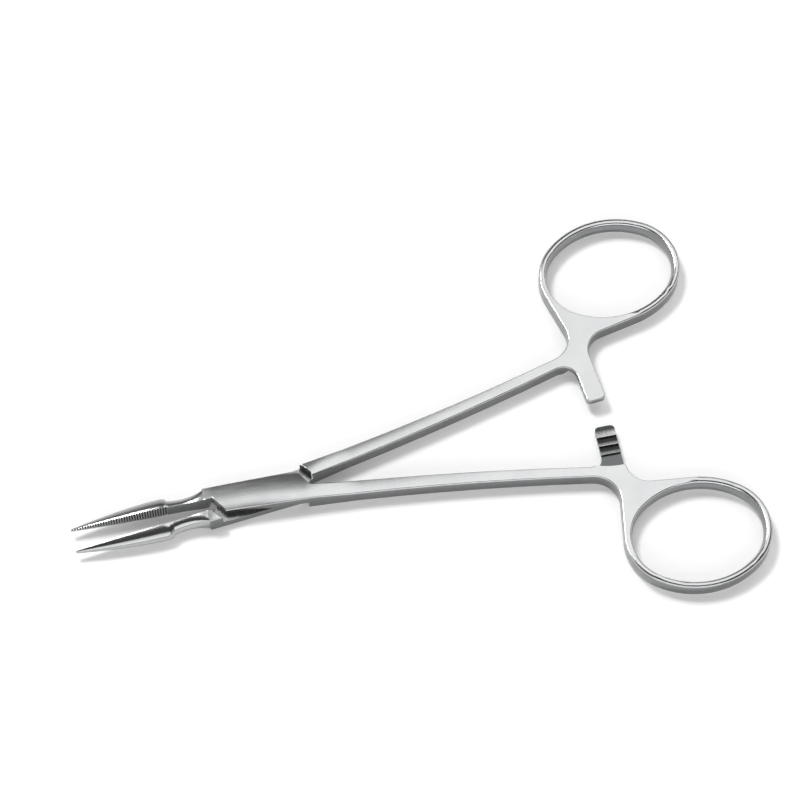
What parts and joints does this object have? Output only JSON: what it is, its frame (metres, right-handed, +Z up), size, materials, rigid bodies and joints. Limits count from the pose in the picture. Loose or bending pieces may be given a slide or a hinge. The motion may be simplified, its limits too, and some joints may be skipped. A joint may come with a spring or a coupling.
{
  "type": "ring-handled splinter forceps",
  "caption": "Slim scissor forceps with pointed serrated half round jaws, a half lap screw joint, a finger ratchet and two finger rings.",
  "frame": {"origin": "on the pivot axis, at the flat underside of the joint that rests on the table", "axes": "+Z up along the pivot axis, +X from the pivot towards the finger rings along the line the jaws close on, +Y towards the inner half's ring"},
  "size_m": [0.1333, 0.0844, 0.0044],
  "materials": {
    "forged_steel": "satin ground stainless steel with polished edges",
    "screw_steel": "turned stainless steel"
  },
  "bodies": {
    "outer_half": {"outer_half": "forged_steel", "joint_screw": "screw_steel"},
    "inner_half": {"inner_half": "forged_steel"}
  },
  "joints": [
    {"name": "pivot", "type": "hinge", "parent": "outer_half", "child": "inner_half", "pos_m": [0, 0, 0.0022], "axis": [0, 0, 1], "range_deg": [-6.5, 43]}
  ]
}
